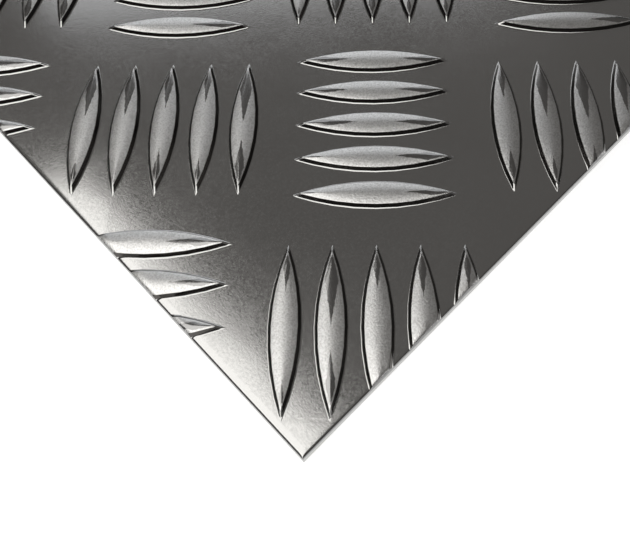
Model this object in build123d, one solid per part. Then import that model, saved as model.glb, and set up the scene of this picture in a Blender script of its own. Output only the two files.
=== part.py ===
from build123d import *
from math import atan2, ceil, cos, degrees, hypot, radians, sin
import os

# Aluminium tread plate: a flat rolled sheet with lens-shaped bars raised in groups.
# Millimetres. The sheet lies in the XY plane, centred on the origin, with its underside at Z = 0.
# The bars stand on the upper face, at an angle to the four sheared edges, which cut through them.

# Sheet
plate_length = 250.0
plate_width = 200.0
sheet_thickness = 3.0

# One raised bar: a lens in plan, with walls that slope in towards a flat top
bar_length = 26.9
bar_width = 5.0
bar_relief = 1.0
wall_run = 0.65

# Pattern: square cells with one group of parallel bars each, turned a quarter from cell to cell
bars_in_group = 5
bar_spacing = 6.85
group_pitch = 36.0
pattern_angle = 45.0

# Centre of one group, measured from the sheet's corner at least X and least Y
first_group_from_left = 45.9
first_group_from_front = 31.0

# A cut bar with less than this left of it comes away with the offcut, in cubic millimetres
least_bar_volume = 0.5

# Worked out from the sizes above
overall_height = sheet_thickness + bar_relief
wall_angle = degrees(atan2(wall_run, bar_relief))
quarter_turn = 90.0


def lens_outline():
    """Flat lens of two equal arcs that meet in a point at each end."""
    end = bar_length / 2
    side = bar_width / 2
    upper = ThreePointArc((end, 0), (0, side), (-end, 0))
    lower = ThreePointArc((-end, 0), (0, -side), (end, 0))
    return make_face(upper + lower)


def raised_bar():
    """One whole bar, lying along X with its foot at Z = 0."""
    return extrude(lens_outline(), amount=bar_relief, taper=wall_angle)


def bar_places():
    """Centre and heading of every bar that can reach the sheet."""
    across_heading = pattern_angle - quarter_turn
    across = radians(across_heading)
    along = radians(pattern_angle)
    first_x = first_group_from_left - plate_length / 2
    first_y = first_group_from_front - plate_width / 2
    reach = ceil(hypot(plate_length, plate_width) / group_pitch) + 1
    places = []
    for column in range(-reach, reach + 1):
        for row in range(-reach, reach + 1):
            lies_across = (column + row) % 2 == 0
            heading = across_heading if lies_across else pattern_angle
            for number in range(bars_in_group):
                step = (number - (bars_in_group - 1) / 2) * bar_spacing
                u = column * group_pitch + (0 if lies_across else step)
                v = row * group_pitch + (step if lies_across else 0)
                x = first_x + u * cos(across) + v * cos(along)
                y = first_y + u * sin(across) + v * sin(along)
                if abs(x) < (plate_length + bar_length) / 2 and abs(y) < (plate_width + bar_length) / 2:
                    places.append((x, y, heading))
    return places


def is_whole(x, y):
    """True where a bar centred here lies well inside the sheared edges."""
    return abs(x) + bar_length / 2 < plate_length / 2 and abs(y) + bar_length / 2 < plate_width / 2


def bars_on_sheet():
    """Every bar on the upper face, those at the edges cut off flush with the sheet."""
    bar = raised_bar()
    kept_by_shear = Pos(0, 0, overall_height) * Box(plate_length, plate_width, 2 * overall_height)
    bars = []
    for x, y, heading in bar_places():
        placed = Pos(x, y, sheet_thickness) * Rot(0, 0, heading) * bar
        if is_whole(x, y):
            bars.append(placed)
            continue
        for cut_bar in (placed & kept_by_shear).solids():
            if cut_bar.volume > least_bar_volume:
                bars.append(cut_bar)
    return bars


sheet = Pos(0, 0, sheet_thickness / 2) * Box(plate_length, plate_width, sheet_thickness)
tread_plate = sheet.fuse(*bars_on_sheet())
tread_plate.label = "tread_plate"

os.makedirs("parts", exist_ok=True)
export_step(tread_plate, "parts/tread_plate.step")
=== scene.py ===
"""Looks of an aluminium tread plate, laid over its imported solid.

TreadBar makes the skin of one bar, TreadPattern lays the bars out in a node tree, and TreadPlate shears
the result to the sheet's size. MillAluminium is the finish. Studio and PhotoCamera stand in for the
photograph's room and camera. Lengths are in metres.
"""

import logging
from collections.abc import Callable
from dataclasses import dataclass, field
from enum import Enum
from math import asin, ceil, cos, hypot, pi, radians, sin
from typing import Any, Optional, Union

import bmesh
import bpy
from mathutils import Matrix, Vector


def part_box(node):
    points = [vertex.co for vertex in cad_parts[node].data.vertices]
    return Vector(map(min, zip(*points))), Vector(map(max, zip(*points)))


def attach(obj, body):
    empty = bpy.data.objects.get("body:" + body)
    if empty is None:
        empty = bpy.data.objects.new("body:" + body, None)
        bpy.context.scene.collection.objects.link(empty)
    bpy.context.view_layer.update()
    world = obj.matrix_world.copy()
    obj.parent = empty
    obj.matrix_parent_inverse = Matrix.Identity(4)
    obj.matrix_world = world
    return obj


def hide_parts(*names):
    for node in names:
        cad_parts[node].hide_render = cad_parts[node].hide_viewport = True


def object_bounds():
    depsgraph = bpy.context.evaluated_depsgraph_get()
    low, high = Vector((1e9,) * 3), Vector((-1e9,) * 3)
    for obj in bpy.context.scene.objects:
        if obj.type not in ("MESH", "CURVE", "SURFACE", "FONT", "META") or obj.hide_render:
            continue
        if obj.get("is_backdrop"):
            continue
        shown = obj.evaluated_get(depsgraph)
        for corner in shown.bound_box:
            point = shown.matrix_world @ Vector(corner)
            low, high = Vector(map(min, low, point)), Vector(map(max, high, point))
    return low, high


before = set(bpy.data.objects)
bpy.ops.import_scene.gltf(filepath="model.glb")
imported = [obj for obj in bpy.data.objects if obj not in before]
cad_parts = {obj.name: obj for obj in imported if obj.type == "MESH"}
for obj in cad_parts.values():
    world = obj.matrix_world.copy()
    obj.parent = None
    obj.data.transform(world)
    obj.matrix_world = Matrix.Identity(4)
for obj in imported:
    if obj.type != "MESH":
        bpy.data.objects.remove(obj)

CAD_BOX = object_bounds()
MM = 0.001
IMAGE_WIDTH = 630
IMAGE_HEIGHT = 540
BODY = "root"
NODE = "tread_plate"
SLOT = "mill_aluminium"
SKIN = "tread_plate_skin"
LOG = logging.getLogger("tread_plate")

Colour = tuple[float, float, float, float]
Operand = Union["Wire", float]


class BarTrait(Enum):
    """Numbers that every point of the plate's mesh carries for its finish."""

    CREST = "crest"
    WALL = "wall"
    ALONG = "along"
    ACROSS = "across"
    BRIGHT_HEAD = "bright_head"
    BRIGHT_TAIL = "bright_tail"
    SHEARED = "sheared"


class PlateSide(Enum):
    """The four sheared sides of the sheet, each with the direction that it faces."""

    LEFT = (-1.0, 0.0)
    RIGHT = (1.0, 0.0)
    FRONT = (0.0, -1.0)
    BACK = (0.0, 1.0)

    @property
    def facing(self) -> Vector:
        """Outward direction of this side."""
        return Vector((*self.value, 0.0))


class Wire:
    """A node's output that takes part in Python arithmetic by adding Math nodes."""

    def __init__(self, maker: "NodeMaker", node: bpy.types.Node, socket: bpy.types.NodeSocket) -> None:
        """Wraps one output socket.

        Args:
            maker: Maker of the tree that the node is in.
            node: Node that has the socket.
            socket: Output socket to wrap.
        """
        self.maker = maker
        self.node = node
        self.socket = socket

    def also(self, identifier: str) -> "Wire":
        """Another output of the same node."""
        return Wire(self.maker, self.node, find_socket(self.node.outputs, identifier))

    def math(
        self,
        operation: str,
        first: Operand,
        second: Operand = 0.0,
        third: Operand = 0.0,
    ) -> "Wire":
        """Adds one Math node.

        Args:
            operation: Blender's name of the operation.
            first: First operand.
            second: Second operand, where the operation takes one.
            third: Third operand, where the operation takes one.

        Returns:
            The result.
        """
        sockets = {"Value": first, "Value_001": second, "Value_002": third}
        return self.maker.make("ShaderNodeMath", {"operation": operation}, sockets)

    def __add__(self, other: Operand) -> "Wire":
        """This plus another."""
        return self.math("ADD", self, other)

    def __radd__(self, other: Operand) -> "Wire":
        """Another plus this."""
        return self.math("ADD", other, self)

    def __sub__(self, other: Operand) -> "Wire":
        """This minus another."""
        return self.math("SUBTRACT", self, other)

    def __rsub__(self, other: Operand) -> "Wire":
        """Another minus this."""
        return self.math("SUBTRACT", other, self)

    def __mul__(self, other: Operand) -> "Wire":
        """This times another."""
        return self.math("MULTIPLY", self, other)

    def __rmul__(self, other: Operand) -> "Wire":
        """Another times this."""
        return self.math("MULTIPLY", other, self)

    def __truediv__(self, other: Operand) -> "Wire":
        """This divided by another."""
        return self.math("DIVIDE", self, other)

    def __rtruediv__(self, other: Operand) -> "Wire":
        """Another divided by this."""
        return self.math("DIVIDE", other, self)

    def __mod__(self, other: Operand) -> "Wire":
        """Remainder of this divided by another."""
        return self.math("MODULO", self, other)

    def __rmod__(self, other: Operand) -> "Wire":
        """Remainder of another divided by this."""
        return self.math("MODULO", other, self)

    def __lt__(self, other: Operand) -> "Wire":
        """One where this is less than another, and nought elsewhere."""
        return self.math("LESS_THAN", self, other)

    def __abs__(self) -> "Wire":
        """Size of this without its sign."""
        return self.math("ABSOLUTE", self)

    def floor(self) -> "Wire":
        """Whole part of this."""
        return self.math("FLOOR", self)

    def sine(self) -> "Wire":
        """Sine of this angle."""
        return self.math("SINE", self)

    def cosine(self) -> "Wire":
        """Cosine of this angle."""
        return self.math("COSINE", self)

    def ease(self, start: float, end: float) -> "Wire":
        """Smooth step of this.

        Args:
            start: Value that gives nought.
            end: Value that gives one, above or below the start.

        Returns:
            The step, from nought to one.
        """
        low, high = min(start, end), max(start, end)
        sockets = {"Value": self, "From Min": low, "From Max": high}
        step = self.maker.make("ShaderNodeMapRange", {"interpolation_type": "SMOOTHSTEP"}, sockets)
        return step if start < end else 1.0 - step


def find_socket(sockets: Any, identifier: str) -> bpy.types.NodeSocket:
    """Socket of a node by its identifier, which no other of its sockets has, as some share a name.

    Args:
        sockets: A node's inputs or outputs.
        identifier: Identifier to look for.

    Returns:
        The socket.
    """
    return next(socket for socket in sockets if socket.identifier == identifier)


class NodeMaker:
    """Makes and links the nodes of one tree."""

    def __init__(self, tree: bpy.types.NodeTree) -> None:
        """Takes the tree that the nodes go into."""
        self.tree = tree

    def make(
        self,
        kind: str,
        settings: Optional[dict[str, Any]] = None,
        sockets: Optional[dict[str, Any]] = None,
        output: Optional[str] = None,
    ) -> Wire:
        """Adds one node.

        Args:
            kind: Blender's type name of the node.
            settings: Properties of the node, which are set first.
            sockets: Values or wires for its inputs, by identifier. A list links several to one input.
            output: Identifier of the output to return, or none for the first.

        Returns:
            The node's output.
        """
        node = self.tree.nodes.new(kind)
        for name, value in (settings or {}).items():
            setattr(node, name, value)
        for identifier, value in (sockets or {}).items():
            target = find_socket(node.inputs, identifier)
            for source in value if isinstance(value, list) else [value]:
                if isinstance(source, Wire):
                    self.tree.links.new(source.socket, target)
                else:
                    target.default_value = source
        if not node.outputs:
            return Wire(self, node, None)
        chosen = find_socket(node.outputs, output) if output else node.outputs[0]
        return Wire(self, node, chosen)

    def trait(self, trait: BarTrait) -> Wire:
        """Number that the mesh carries for its finish."""
        return self.make("ShaderNodeAttribute", {"attribute_name": trait.value}, output="Fac")

    def noise(self, place: Wire, scale: float, detail: float, roughness: float = 0.5) -> Wire:
        """Noise texture from nought to one.

        Args:
            place: Coordinates.
            scale: Cells in one unit of the coordinates.
            detail: Number of finer layers.
            roughness: Strength of each finer layer beside the one before.

        Returns:
            The noise.
        """
        sockets = {"Vector": place, "Scale": scale, "Detail": detail, "Roughness": roughness}
        return self.make("ShaderNodeTexNoise", {}, sockets, "Fac")

    def stretched(self, place: Wire, factors: tuple[float, float, float]) -> Wire:
        """Coordinates stretched along each axis.

        Args:
            place: Coordinates.
            factors: Factor along each axis.

        Returns:
            The new coordinates.
        """
        sockets = {"Vector": place, "Vector_001": factors}
        return self.make("ShaderNodeVectorMath", {"operation": "MULTIPLY"}, sockets)

    def mixed(self, factor: Operand, first: Any, second: Any) -> Wire:
        """Blend of two colours.

        Args:
            factor: Share of the second.
            first: First colour.
            second: Second colour.

        Returns:
            The blend.
        """
        sockets = {"Factor_Float": factor, "A_Color": first, "B_Color": second}
        return self.make("ShaderNodeMix", {"data_type": "RGBA"}, sockets, "Result_Color")


def new_material(name: str) -> tuple[bpy.types.Material, NodeMaker]:
    """Empty node material.

    Args:
        name: Name of the material.

    Returns:
        The material, and the maker of its nodes.
    """
    material = bpy.data.materials.new(name)
    material.use_nodes = True
    material.node_tree.nodes.clear()
    return material, NodeMaker(material.node_tree)


@dataclass(frozen=True)
class MillAluminium:
    """Bright rolled finish: mottled flats, matt crests and walls painted dark as shade on the bars, and
    sheared edges whose upper band is painted dark as shade.

    The burnished leaves are placed by shares of half a bar's length and of half its width; their darker
    colour is a painted dark reflection.
    """

    colour: Colour = (0.67, 0.665, 0.655, 1.0)
    crest_colour: Colour = (0.99, 0.985, 0.975, 1.0)
    crest_shade: Colour = (0.76, 0.755, 0.74, 1.0)
    leaf_dark_reflection: Colour = (0.43, 0.425, 0.42, 1.0)
    # Painted shade: the bars' walls are painted near black.
    wall_painted_shade: Colour = (0.10, 0.095, 0.09, 1.0)
    # Painted shade: the upper band of the sheared face is painted dark.
    burnished_painted_shade: Colour = (0.26, 0.26, 0.26, 1.0)
    torn_colour: Colour = (0.55, 0.55, 0.54, 1.0)
    flat_roughness: float = 0.155
    crest_roughness: float = 0.35
    leaf_roughness: float = 0.19
    wall_roughness: float = 0.19
    sheared_roughness: float = 0.42
    smudge_roughness: float = 0.08
    dimple_roughness: float = 0.16
    crest_from: float = 0.5
    wall_from: float = 0.6
    sheared_from: float = 0.8
    torn_below: float = 1.75 * MM
    band_softness: float = 0.12 * MM
    waver_size: float = 2.5 * MM
    waver_depth: float = 0.7 * MM
    head_wedge: tuple[float, float] = (-0.05, 0.42)
    tail_wedge: tuple[float, float] = (0.18, 0.80)
    wedge_taper: float = 1.3
    top_reach: float = 0.88
    top_width: float = 0.72
    matt_margin: float = 0.03
    leaf_rounding: float = 0.10
    leaf_softness: float = 0.045
    ragged_size: float = 1.0 * MM
    ragged_depth: float = 0.14
    speckle_contrast: float = 3.2
    speckle_level: float = 0.55
    smudge_size: float = 14.0 * MM
    pebble_size: float = 0.28 * MM
    dimple_size: float = 0.36 * MM
    grain_length: float = 9.0 * MM
    grain_width: float = 0.16 * MM
    bump_depth: float = 0.013 * MM
    flat_pebble: float = 0.3
    crest_pebble: float = 3.5
    dimple_height: float = 0.22
    grain_height: float = 0.01

    def material(self) -> bpy.types.Material:
        """Builds the finish.

        Returns:
            The material.
        """
        material, maker = new_material(SLOT)
        place = maker.make("ShaderNodeTexCoord", output="Object")
        pebble = maker.noise(place, 1.0 / self.pebble_size, detail=3.0, roughness=0.6)
        dimple = maker.noise(place, 1.0 / self.dimple_size, detail=1.0)
        smudge = maker.noise(place, 1.0 / self.smudge_size, detail=4.0, roughness=0.55)
        grain_factors = (1.0 / self.grain_length, 1.0 / self.grain_width, 1.0 / self.grain_width)
        grain = maker.noise(maker.stretched(place, grain_factors), 1.0, detail=2.0)
        crest = maker.trait(BarTrait.CREST).ease(self.crest_from, 1.0)
        matt = crest * self.matt_share(maker, place)
        leaf = crest - matt
        wall = maker.trait(BarTrait.WALL).ease(self.wall_from, 1.0)
        sheared = maker.trait(BarTrait.SHEARED).ease(self.sheared_from, 1.0)

        roughness = self.flat_roughness + (smudge - 0.5) * self.smudge_roughness
        roughness = roughness + (dimple - 0.5) * self.dimple_roughness
        roughness = roughness + matt * (self.crest_roughness - self.flat_roughness)
        roughness = roughness + leaf * (self.leaf_roughness - self.flat_roughness)
        roughness = roughness + wall * (self.wall_roughness - self.flat_roughness)
        roughness = roughness + sheared * (self.sheared_roughness - self.flat_roughness)
        speckle = (pebble - 0.5) * self.speckle_contrast + self.speckle_level
        matt_colour = maker.mixed(speckle.ease(0.0, 1.0), self.crest_shade, self.crest_colour)
        # The leaves are real burnished metal, but their darker colour is a painted dark reflection.
        colour = maker.mixed(leaf, self.colour, self.leaf_dark_reflection)
        colour = maker.mixed(matt, colour, matt_colour)
        # The walls are painted dark: painted shade that stands in for the dark room the steep walls
        # reflect.
        colour = maker.mixed(wall, colour, self.wall_painted_shade)
        # The upper band of the sheared face is painted dark: painted shade.
        colour = maker.mixed(sheared, colour, self.sheared_bands(maker, place))
        height = (pebble - 0.5) * (self.flat_pebble + matt * self.crest_pebble)
        height = height + (dimple - 0.5) * self.dimple_height + (grain - 0.5) * self.grain_height
        bump_sockets = {"Strength": 1.0, "Distance": self.bump_depth, "Height": height}
        bump = maker.make("ShaderNodeBump", {}, bump_sockets)
        surface = maker.make(
            "ShaderNodeBsdfPrincipled",
            {},
            {"Base Color": colour, "Metallic": 1.0, "Roughness": roughness, "Normal": bump},
        )
        maker.make("ShaderNodeOutputMaterial", {}, {"Surface": surface})
        return material

    def sheared_bands(self, maker: NodeMaker, place: Wire) -> Wire:
        """Colours of the sheared face: a burnished band, painted dark as painted shade for the shadowed
        floor it reflects, over a torn one, which meet in a wavering line.

        Args:
            maker: Maker of the material's nodes.
            place: Object coordinates.

        Returns:
            The colour.
        """
        level = maker.make("ShaderNodeSeparateXYZ", {}, {"Vector": place}, "Z")
        waver = (maker.noise(place, 1.0 / self.waver_size, detail=3.0) - 0.5) * self.waver_depth
        burnished_shade_above = self.torn_below + self.band_softness
        torn = (level + waver).ease(burnished_shade_above, self.torn_below - self.band_softness)
        return maker.mixed(torn, self.burnished_painted_shade, self.torn_colour)

    def matt_share(self, maker: NodeMaker, place: Wire) -> Wire:
        """Matt share of a bar's top, which leaves a leaf of burnished metal along the spine at each tip;
        the leaf's darker colour is a painted dark reflection.

        Args:
            maker: Maker of the material's nodes.
            place: Object coordinates.

        Returns:
            The share, from nought to one.
        """
        along = maker.trait(BarTrait.ALONG)
        across = abs(maker.trait(BarTrait.ACROSS))
        ragged = (maker.noise(place, 1.0 / self.ragged_size, detail=3.0) - 0.5) * self.ragged_depth
        head_start, head_spread = self.head_wedge[0], self.head_wedge[1] - self.head_wedge[0]
        tail_start, tail_spread = self.tail_wedge[0], self.tail_wedge[1] - self.tail_wedge[0]
        head = along - head_start - maker.trait(BarTrait.BRIGHT_HEAD) * head_spread
        tail = 0.0 - along - tail_start - maker.trait(BarTrait.BRIGHT_TAIL) * tail_spread
        wedge = head.math("MAXIMUM", head, tail) / self.wedge_taper - across
        # A narrow matt margin stays round the leaf, inside the lens-shaped top.
        reach = along / self.top_reach
        room = (1.0 - reach * reach) * self.top_width - across - self.matt_margin
        leaf = wedge.math("SMOOTH_MIN", wedge, room, self.leaf_rounding) + ragged
        return leaf.ease(self.leaf_softness, -self.leaf_softness)


@dataclass(frozen=True)
class StudioWhite:
    """Plain white floor that shows as white and keeps the shadow of what stands on it."""

    albedo: Colour = (0.80, 0.80, 0.80, 1.0)
    glow: float = 0.72

    def material(self) -> bpy.types.Material:
        """Builds the finish.

        Returns:
            The material.
        """
        material, maker = new_material("studio_white")
        path = maker.make("ShaderNodeLightPath", output="Is Camera Ray")
        seen = path + path.also("Is Glossy Ray") + path.also("Is Transmission Ray")
        matt = maker.make("ShaderNodeBsdfDiffuse", {}, {"Color": self.albedo})
        white = (self.glow, self.glow, self.glow, 1.0)
        glow = maker.make("ShaderNodeEmission", {}, {"Color": white, "Strength": seen})
        surface = maker.make("ShaderNodeAddShader", {}, {"Shader": matt, "Shader_001": glow})
        maker.make("ShaderNodeOutputMaterial", {}, {"Surface": surface})
        return material


@dataclass(frozen=True)
class BarRing:
    """One lens-shaped outline of the bar's skin, level all round, measured in from the foot line."""

    side_inset: float
    tip_inset: float
    height: float
    crest: float = 0.0
    wall: float = 0.0
    creased: bool = False


@dataclass(frozen=True)
class TreadBar:
    """One raised bar, a lens in plan with a tight foot, steep walls and a crowned top that leans."""

    length: float = 26.9 * MM
    width: float = 5.0 * MM
    relief: float = 0.99 * MM
    collar: BarRing = BarRing(-0.14 * MM, -0.28 * MM, 0.0)
    foot: BarRing = BarRing(0.0, 0.0, 0.0)
    wall_foot: BarRing = BarRing(0.13 * MM, 0.26 * MM, 0.15 * MM, wall=1.0, creased=True)
    wall_head: BarRing = BarRing(0.46 * MM, 1.12 * MM, 0.67 * MM, wall=1.0, creased=True)
    top_edge: BarRing = BarRing(0.58 * MM, 1.47 * MM, 0.72 * MM, crest=1.0)
    ridge_side: BarRing = BarRing(1.60 * MM, 3.40 * MM, 0.86 * MM, crest=1.0)
    crown_fullness: float = 0.8
    tip_width: float = 0.01 * MM
    lean: float = 0.04 * MM
    steps: tuple[float, ...] = (0.0, 0.25, 0.50, 0.74, 0.94, 1.0)

    def rings(self) -> list[BarRing]:
        """Outlines of the skin, from the flat collar up to the side of the ridge."""
        return [
            self.collar,
            self.foot,
            self.wall_foot,
            self.wall_head,
            self.top_edge,
            self.ridge_side,
        ]

    def side_points(self, ring: BarRing) -> list[Vector]:
        """Points of one side of an outline, from tip to tip.

        Args:
            ring: Outline.

        Returns:
            The points, on the side of positive Y.
        """
        half_length = self.length / 2 - ring.tip_inset
        half_width = self.width / 2 - ring.side_inset
        radius = (half_length**2 + half_width**2) / (2 * half_width)
        centre = radius - half_width
        sweep = asin(half_length / radius)
        points = []
        for share in [-step for step in reversed(self.steps[1:])] + list(self.steps):
            turn = sweep * share
            points.append(Vector((radius * sin(turn), radius * cos(turn) - centre, ring.height)))
        return points

    def skin(self) -> bpy.types.Mesh:
        """Open skin of one bar along X, its foot at Z = 0, with the traits of its points.

        Returns:
            The mesh.
        """
        mesh = bmesh.new()
        carried = (BarTrait.CREST, BarTrait.WALL, BarTrait.ALONG, BarTrait.ACROSS, BarTrait.SHEARED)
        layers = {trait: mesh.verts.layers.float.new(trait.value) for trait in carried}

        def point(place: Vector, ring: BarRing) -> bmesh.types.BMVert:
            """New point of the skin with its traits."""
            vertex = mesh.verts.new(place)
            vertex[layers[BarTrait.CREST]] = ring.crest
            # The tips of the walls stay bright: the painted wall shade stops short of them.
            vertex[layers[BarTrait.WALL]] = ring.wall if abs(place.y) > self.tip_width else 0.0
            vertex[layers[BarTrait.ALONG]] = place.x / (self.length / 2)
            vertex[layers[BarTrait.ACROSS]] = place.y / (self.width / 2)
            return vertex

        loops = []
        for ring in self.rings():
            side = self.side_points(ring)
            other = [Vector((place.x, -place.y, place.z)) for place in reversed(side[1:-1])]
            loops.append([point(place, ring) for place in side + other])
        for outer, inner in zip(loops, loops[1:]):
            for number in range(len(outer)):
                after = (number + 1) % len(outer)
                mesh.faces.new((outer[number], inner[number], inner[after], outer[after]))
        for ring, loop in zip(self.rings(), loops):
            if ring.creased:
                for number, vertex in enumerate(loop):
                    mesh.edges.get((vertex, loop[number - 1])).smooth = False
        self.close_top(mesh, loops[-1], point)
        for vertex in mesh.verts:
            vertex.co.y += self.lean * vertex.co.z / self.relief
        bmesh.ops.recalc_face_normals(mesh, faces=mesh.faces)
        if sum(face.normal.z for face in mesh.faces) < 0:
            bmesh.ops.reverse_faces(mesh, faces=mesh.faces)
        data = bpy.data.meshes.new("tread_bar")
        mesh.to_mesh(data)
        mesh.free()
        return data

    def close_top(
        self,
        mesh: bmesh.types.BMesh,
        edge: list[bmesh.types.BMVert],
        point: Callable[[Vector, BarRing], bmesh.types.BMVert],
    ) -> None:
        """Closes the crowned top with a spine along the bar.

        Args:
            mesh: Mesh of the skin.
            edge: Loop round the top, the first half from tip to tip.
            point: Function that adds a point with its traits.
        """
        half = len(edge) // 2
        rim = edge[0].co.z
        widest = edge[half // 2].co.y
        spine = [edge[0]]
        for vertex in edge[1:half]:
            height = rim + (self.relief - rim) * (vertex.co.y / widest) ** self.crown_fullness
            spine.append(point(Vector((vertex.co.x, 0.0, height)), self.ridge_side))
        spine.append(edge[half])
        other = [edge[0]] + edge[: half - 1 : -1]
        for side in (edge[: half + 1], other):
            for number in range(half):
                corners = [side[number], side[number + 1], spine[number + 1], spine[number]]
                # At a tip the side and the spine share a corner, and the face has three.
                mesh.faces.new(list(dict.fromkeys(corners)))


@dataclass(frozen=True)
class TreadPattern:
    """Square cells with a group of parallel bars each, turned a quarter from cell to cell."""

    bars_in_group: int = 5
    bar_spacing: float = 6.85 * MM
    group_pitch: float = 36.0 * MM
    angle: float = radians(45.0)
    first_from_left: float = 45.9 * MM
    first_from_front: float = 31.0 * MM
    spare_lengths: float = 3.0
    merge_distance: float = 0.002 * MM
    seed: int = 128

    def inputs(
        self,
        bar: TreadBar,
        low: Vector,
        high: Vector,
        finish: bpy.types.Material,
    ) -> dict[str, Any]:
        """Named inputs of the node tree.

        Args:
            bar: The bar that is laid out.
            low: Lowest corner of the sheet.
            high: Highest corner of the sheet.
            finish: Material of the plate.

        Returns:
            Each input's name with its value.
        """
        size = high - low
        return {
            "Bars in Group": self.bars_in_group,
            "Bar Spacing": self.bar_spacing,
            "Bar Length": bar.length,
            "Group Pitch": self.group_pitch,
            "Pattern Angle": self.angle,
            "First Group X": low.x + self.first_from_left,
            "First Group Y": low.y + self.first_from_front,
            "Sheet Length": size.x,
            "Sheet Width": size.y,
            "Reach": ceil(hypot(size.x, size.y) / self.group_pitch) + 1,
            "Seed": self.seed,
            "Finish": finish,
        }

    def tree(self, values: dict[str, Any]) -> bpy.types.NodeTree:
        """Node tree that lays out the bars and closes the flat ground between them.

        Args:
            values: Named inputs, which give the sockets their types.

        Returns:
            The tree.
        """
        tree = bpy.data.node_groups.new("tread_pattern", "GeometryNodeTree")
        kinds = {int: "NodeSocketInt", float: "NodeSocketFloat", bpy.types.Material: "NodeSocketMaterial"}
        tree.interface.new_socket("Bar", in_out="INPUT", socket_type="NodeSocketGeometry")
        for name, value in values.items():
            tree.interface.new_socket(name, in_out="INPUT", socket_type=kinds[type(value)])
        tree.interface.new_socket("Plate", in_out="OUTPUT", socket_type="NodeSocketGeometry")
        maker = NodeMaker(tree)
        group = tree.nodes.new("NodeGroupInput")
        given = {socket.name: Wire(maker, group, socket) for socket in group.outputs if socket.name}
        bars = self.laid_out(maker, given)
        ground = self.ground(maker, given, bars)
        plate = maker.make("GeometryNodeJoinGeometry", {}, {"Geometry": [ground, bars]})
        merging = {"Geometry": plate, "Distance": self.merge_distance}
        plate = maker.make("GeometryNodeMergeByDistance", {}, merging)
        plate = maker.make("GeometryNodeRealizeInstances", {}, {"Geometry": plate})
        plate = maker.make("GeometryNodeSetMaterial", {}, {"Geometry": plate, "Material": given["Finish"]})
        output = tree.nodes.new("NodeGroupOutput")
        tree.links.new(plate.socket, output.inputs[0])
        return tree

    def laid_out(self, maker: NodeMaker, given: dict[str, Wire]) -> Wire:
        """Every bar that can reach the sheet.

        Args:
            maker: Maker of the tree's nodes.
            given: The tree's named inputs.

        Returns:
            The bars, as one mesh.
        """
        bars, reach = given["Bars in Group"], given["Reach"]
        cells = reach * 2.0 + 1.0
        index = maker.make("GeometryNodeInputIndex")
        # The points are numbered bar by bar, then cell by cell along a row, then row by row.
        number = index % bars
        cell = (index / bars).floor()
        column = cell % cells
        row = (cell / cells).floor()
        turned = (column + row) % 2.0
        step = (number - (bars - 1.0) / 2.0) * given["Bar Spacing"]
        along_row = (column - reach) * given["Group Pitch"] + turned * step
        along_column = (row - reach) * given["Group Pitch"] + (1.0 - turned) * step
        angle = given["Pattern Angle"]
        x = given["First Group X"] + along_row * angle.sine() + along_column * angle.cosine()
        y = given["First Group Y"] - along_row * angle.cosine() + along_column * angle.sine()
        heading = angle - (1.0 - turned) * (pi / 2)
        on_length = abs(x) < (given["Sheet Length"] + given["Bar Length"]) / 2.0
        on_width = abs(y) < (given["Sheet Width"] + given["Bar Length"]) / 2.0
        place = maker.make("ShaderNodeCombineXYZ", {}, {"X": x, "Y": y})
        points = maker.make("GeometryNodePoints", {}, {"Count": bars * cells * cells, "Position": place})
        euler = maker.make("ShaderNodeCombineXYZ", {}, {"Z": heading})
        turn = maker.make("FunctionNodeEulerToRotation", {}, {"Euler": euler})
        placed = maker.make(
            "GeometryNodeInstanceOnPoints",
            {},
            {
                "Points": points,
                "Selection": on_length * on_width,
                "Instance": given["Bar"],
                "Rotation": turn,
            },
        )
        # Each bar draws the length of the burnished leaf at either end.
        for end, trait in enumerate((BarTrait.BRIGHT_HEAD, BarTrait.BRIGHT_TAIL)):
            sockets = {"Seed": given["Seed"] + float(end)}
            draw = maker.make("FunctionNodeRandomValue", {"data_type": "FLOAT"}, sockets, "Value_001")
            placed = maker.make(
                "GeometryNodeStoreNamedAttribute",
                {"data_type": "FLOAT", "domain": "INSTANCE"},
                {"Geometry": placed, "Name": trait.value, "Value": draw},
            )
        return maker.make("GeometryNodeRealizeInstances", {}, {"Geometry": placed})

    def ground(self, maker: NodeMaker, given: dict[str, Wire], bars: Wire) -> Wire:
        """Flat face of the sheet round the bars' collars, running past the sheared edges.

        Args:
            maker: Maker of the tree's nodes.
            given: The tree's named inputs.
            bars: Mesh of the bars.

        Returns:
            The flat face.
        """
        faces = maker.make("GeometryNodeInputMeshEdgeNeighbors")
        # An edge with a single face lies on the outline of a collar.
        collars = maker.make("GeometryNodeMeshToCurve", {}, {"Mesh": bars, "Selection": faces < 1.5})
        spare = given["Bar Length"] * self.spare_lengths
        border = maker.make(
            "GeometryNodeCurvePrimitiveQuadrilateral",
            {},
            {"Width": given["Sheet Length"] + spare, "Height": given["Sheet Width"] + spare},
        )
        outlines = maker.make("GeometryNodeJoinGeometry", {}, {"Geometry": [border, collars]})
        return maker.make("GeometryNodeFillCurve", {"mode": "TRIANGLES"}, {"Curve": outlines})


@dataclass(frozen=True)
class ShearedEdge:
    """Edge left by the shear: an upper face that droops to its rim, a straight face and a lower corner."""

    droop_width: float = 1.2 * MM
    droop_depth: float = 0.34 * MM
    droop_power: float = 3.6
    droop_shares: tuple[float, ...] = (1.0, 0.60, 0.32, 0.16, 0.06, 0.0)
    lower_corner: float = 0.12 * MM
    cut_tolerance: float = 0.0005 * MM

    def stops(self) -> list[float]:
        """Distances inside the edge at which the upper face gets a line of points, the innermost first."""
        return [share * self.droop_width for share in self.droop_shares]

    def drop(self, inside: float) -> float:
        """How far the drooping face lies below the flat, at a distance inside the edge."""
        share = max(0.0, 1 - inside / self.droop_width)
        return self.droop_depth * share**self.droop_power


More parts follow.
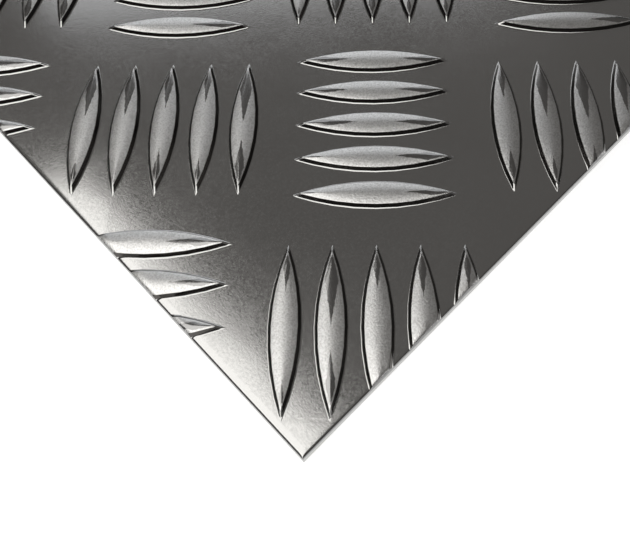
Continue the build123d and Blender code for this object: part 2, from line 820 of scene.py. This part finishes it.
@dataclass
class TreadPlate:
    """The sheet with its raised bars, as one closed skin."""

    low: Vector
    high: Vector
    thickness: float = 3.0 * MM
    bar: TreadBar = field(default_factory=TreadBar)
    pattern: TreadPattern = field(default_factory=TreadPattern)
    edge: ShearedEdge = field(default_factory=ShearedEdge)
    finish: MillAluminium = field(default_factory=MillAluminium)

    def build(self) -> bpy.types.Object:
        """Makes the plate's mesh and dresses it.

        Returns:
            The finished piece.
        """
        finish = self.finish.material()
        upper = self.upper_face(finish)
        self.shear(upper)
        piece = bpy.data.objects.new(SKIN, upper)
        bpy.context.scene.collection.objects.link(piece)
        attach(piece, BODY)
        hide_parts(NODE)
        return piece

    def upper_face(self, finish: bpy.types.Material) -> bpy.types.Mesh:
        """Upper face with every bar, larger than the sheet and at Z = 0.

        Args:
            finish: Material of the plate.

        Returns:
            The mesh.
        """
        source = bpy.data.objects.new("tread_bar", self.bar.skin())
        bpy.context.scene.collection.objects.link(source)
        values = self.pattern.inputs(self.bar, self.low, self.high, finish)
        modifier = source.modifiers.new("tread_pattern", "NODES")
        modifier.node_group = self.pattern.tree(values)
        for item in modifier.node_group.interface.items_tree:
            if item.in_out == "INPUT" and item.name in values:
                modifier[item.identifier] = values[item.name]
        depsgraph = bpy.context.evaluated_depsgraph_get()
        upper = bpy.data.meshes.new_from_object(source.evaluated_get(depsgraph))
        upper.name = SKIN
        bpy.data.objects.remove(source)
        return upper

    def shear(self, upper: bpy.types.Mesh) -> None:
        """Cuts the upper face to the sheet, and gives it its edges and underside.

        Args:
            upper: Mesh of the upper face, which is changed.
        """
        mesh = bmesh.new()
        mesh.from_mesh(upper)
        bmesh.ops.translate(mesh, verts=mesh.verts, vec=(0.0, 0.0, self.thickness))
        for side in PlateSide:
            self.cut_side(mesh, side)
        for vertex in mesh.verts:
            vertex.co.z -= self.edge.drop(self.inside(vertex.co))
        self.close_below(mesh)
        bmesh.ops.recalc_face_normals(mesh, faces=mesh.faces)
        for face in mesh.faces:
            face.smooth = True
        mesh.to_mesh(upper)
        mesh.free()

    def inside(self, place: Vector) -> float:
        """Distance of a place inside the nearest sheared edge."""
        along = min(place.x - self.low.x, self.high.x - place.x)
        return max(0.0, min(along, place.y - self.low.y, self.high.y - place.y))

    def cut_side(self, mesh: bmesh.types.BMesh, side: PlateSide) -> None:
        """Cuts one side off, with lines of points for its droop.

        Args:
            mesh: Mesh of the upper face.
            side: Side to cut.
        """
        facing = side.facing
        reach = max(self.low.dot(facing), self.high.dot(facing))
        # Only the faces close to the edge are cut.
        inner = reach - 2 * self.edge.droop_width
        for stop in self.edge.stops():
            near = [face for face in mesh.faces if max(vert.co.dot(facing) for vert in face.verts) > inner]
            edges = {edge for face in near for edge in face.edges}
            verts = {vert for face in near for vert in face.verts}
            bmesh.ops.bisect_plane(
                mesh,
                geom=near + list(edges) + list(verts),
                dist=self.edge.cut_tolerance,
                plane_co=facing * (reach - stop),
                plane_no=facing,
                clear_outer=stop == 0.0,
            )

    def close_below(self, mesh: bmesh.types.BMesh) -> None:
        """Adds the sheared faces, the lower corners and the underside.

        Args:
            mesh: Mesh of the upper face, cut to the sheet.
        """
        layers = {trait: mesh.verts.layers.float[trait.value] for trait in BarTrait}
        sheared = layers.pop(BarTrait.SHEARED)
        rim = [edge for edge in mesh.edges if edge.is_boundary]
        for vertex in {vert for edge in rim for vert in edge.verts}:
            vertex[sheared] = 1.0
        for edge in rim:
            edge.smooth = False
        corner = self.edge.lower_corner
        for height, inset in ((corner, 0.0), (0.0, corner)):
            grown = bmesh.ops.extrude_edge_only(mesh, edges=rim)["geom"]
            rim = [item for item in grown if isinstance(item, bmesh.types.BMEdge)]
            for vertex in {vert for edge in rim for vert in edge.verts}:
                vertex.co.z = height
                vertex.co.x = min(max(vertex.co.x, self.low.x + inset), self.high.x - inset)
                vertex.co.y = min(max(vertex.co.y, self.low.y + inset), self.high.y - inset)
                for bar_trait in layers.values():
                    vertex[bar_trait] = 0.0
            rim = [edge for edge in rim if edge.is_boundary]
            for edge in rim:
                edge.smooth = False
        underside = bmesh.ops.contextual_create(mesh, geom=rim)["faces"]
        for vertex in underside[0].verts:
            vertex[sheared] = 0.0


@dataclass(frozen=True)
class Softbox:
    """Flat rectangular lamp that faces a point."""

    name: str
    centre: tuple[float, float, float]
    aim: tuple[float, float, float]
    width: float
    height: float
    radiance: float
    tint: tuple[float, float, float] = (1.0, 1.0, 1.0)

    def place(self) -> bpy.types.Object:
        """Puts the lamp in the scene.

        Returns:
            The lamp.
        """
        data = bpy.data.lights.new(self.name, "AREA")
        data.shape = "RECTANGLE"
        data.size = self.width
        data.size_y = self.height
        data.energy = self.radiance * pi * self.width * self.height
        data.color = self.tint
        lamp = bpy.data.objects.new(self.name, data)
        lamp.location = self.centre
        facing = Vector(self.aim) - Vector(self.centre)
        lamp.rotation_euler = facing.to_track_quat("-Z", "Y").to_euler()
        bpy.context.scene.collection.objects.link(lamp)
        return lamp


@dataclass(frozen=True)
class Studio:
    """White floor, soft lamps and a dim room."""

    floor_size: float = 12.0
    floor_finish: StudioWhite = StudioWhite()
    room: Colour = (0.104, 0.100, 0.096, 1.0)
    horizon: Colour = (0.045, 0.044, 0.043, 1.0)
    horizon_rise: tuple[float, float] = (0.20, 0.65)
    lamps: tuple[Softbox, ...] = (
        Softbox(
            "near_softbox",
            centre=(-0.32, -0.08, 0.305),
            aim=(-0.32, -0.08, 0.0),
            width=0.475,
            height=0.53,
            radiance=1.30,
            tint=(1.0, 0.99, 0.965),
        ),
        Softbox(
            "far_window",
            centre=(1.23, 1.58, 1.13),
            aim=(0.0, 0.0, 1.13),
            width=1.88,
            height=1.98,
            radiance=0.66,
            tint=(0.96, 0.985, 1.02),
        ),
    )

    def build(self) -> list[bpy.types.Object]:
        """Makes the floor, the lamps and the world.

        Returns:
            The objects that were made.
        """
        floor = self.floor()
        floor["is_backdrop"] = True
        world = bpy.data.worlds.new("studio")
        bpy.context.scene.world = world
        world.use_nodes = True
        world.node_tree.nodes.clear()
        maker = NodeMaker(world.node_tree)
        direction = maker.make("ShaderNodeTexCoord", output="Generated")
        rise = maker.make("ShaderNodeSeparateXYZ", {}, {"Vector": direction}, "Z")
        colour = maker.mixed(rise.ease(*self.horizon_rise), self.horizon, self.room)
        room = maker.make("ShaderNodeBackground", {}, {"Color": colour, "Strength": 1.0})
        maker.make("ShaderNodeOutputWorld", {}, {"Surface": room})
        return [floor] + [lamp.place() for lamp in self.lamps]

    def floor(self) -> bpy.types.Object:
        """Large flat floor just under the plate.

        Returns:
            The floor.
        """
        mesh = bmesh.new()
        bmesh.ops.create_grid(mesh, x_segments=1, y_segments=1, size=self.floor_size / 2)
        data = bpy.data.meshes.new("floor")
        mesh.to_mesh(data)
        mesh.free()
        data.materials.append(self.floor_finish.material())
        floor = bpy.data.objects.new("floor", data)
        bpy.context.scene.collection.objects.link(floor)
        return floor


@dataclass(frozen=True)
class PhotoCamera:
    """Camera at the photograph's place, worked out from the bars' tips and the plate's edges."""

    aim: tuple[float, float, float] = (-89.52 * MM, -71.22 * MM, 3.0 * MM)
    distance: float = 129.78 * MM
    azimuth: float = radians(-41.99)
    elevation: float = radians(58.67)
    roll: float = radians(-3.02)
    lens: float = 45.07
    sensor: float = 36.0
    axis_pixel: tuple[float, float] = (340.0, 170.0)
    nearest: float = 1.0 * MM
    farthest: float = 100.0

    def build(self) -> bpy.types.Object:
        """Makes the camera and makes it the scene's own.

        Returns:
            The camera.
        """
        data = bpy.data.cameras.new("photo_camera")
        data.lens = self.lens
        data.sensor_width = self.sensor
        data.sensor_fit = "HORIZONTAL"
        data.clip_start = self.nearest
        data.clip_end = self.farthest
        data.shift_x = (IMAGE_WIDTH / 2 - self.axis_pixel[0]) / IMAGE_WIDTH
        data.shift_y = (self.axis_pixel[1] - IMAGE_HEIGHT / 2) / IMAGE_WIDTH
        level = cos(self.elevation)
        forward = Vector((-sin(self.azimuth) * level, cos(self.azimuth) * level, -sin(self.elevation)))
        right = forward.cross(Vector((0.0, 0.0, 1.0))).normalized()
        turned = Matrix.Rotation(-self.roll, 3, forward) @ right
        upward = turned.cross(forward)
        camera = bpy.data.objects.new("photo_camera", data)
        axes = Matrix((turned, upward, -forward)).transposed()
        place = Vector(self.aim) - forward * self.distance
        camera.matrix_world = Matrix.Translation(place) @ axes.to_4x4()
        bpy.context.scene.collection.objects.link(camera)
        bpy.context.scene.camera = camera
        return camera


def write_sizes() -> None:
    """Gathers the solid's box and the dressed part's box, which are not kept."""
    boxes = {"cad": CAD_BOX, "visual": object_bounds()}
    {name: [list(corner) for corner in box] for name, box in boxes.items()}


def main() -> None:
    """Builds the plate, the studio and the camera in order."""
    logging.basicConfig(level=logging.INFO, format="%(name)s: %(message)s")
    bpy.context.scene.view_settings.view_transform = "Standard"
    low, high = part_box(NODE)
    plate = TreadPlate(low, high).build()
    LOG.info("%s: %d faces, %d points", plate.name, len(plate.data.polygons), len(plate.data.vertices))
    for made in Studio().build():
        LOG.info("%s: placed", made.name)
    camera = PhotoCamera().build()
    LOG.info("%s: lens %.1f mm", camera.name, camera.data.lens)
    write_sizes()


if __name__ == "__main__":
    main()
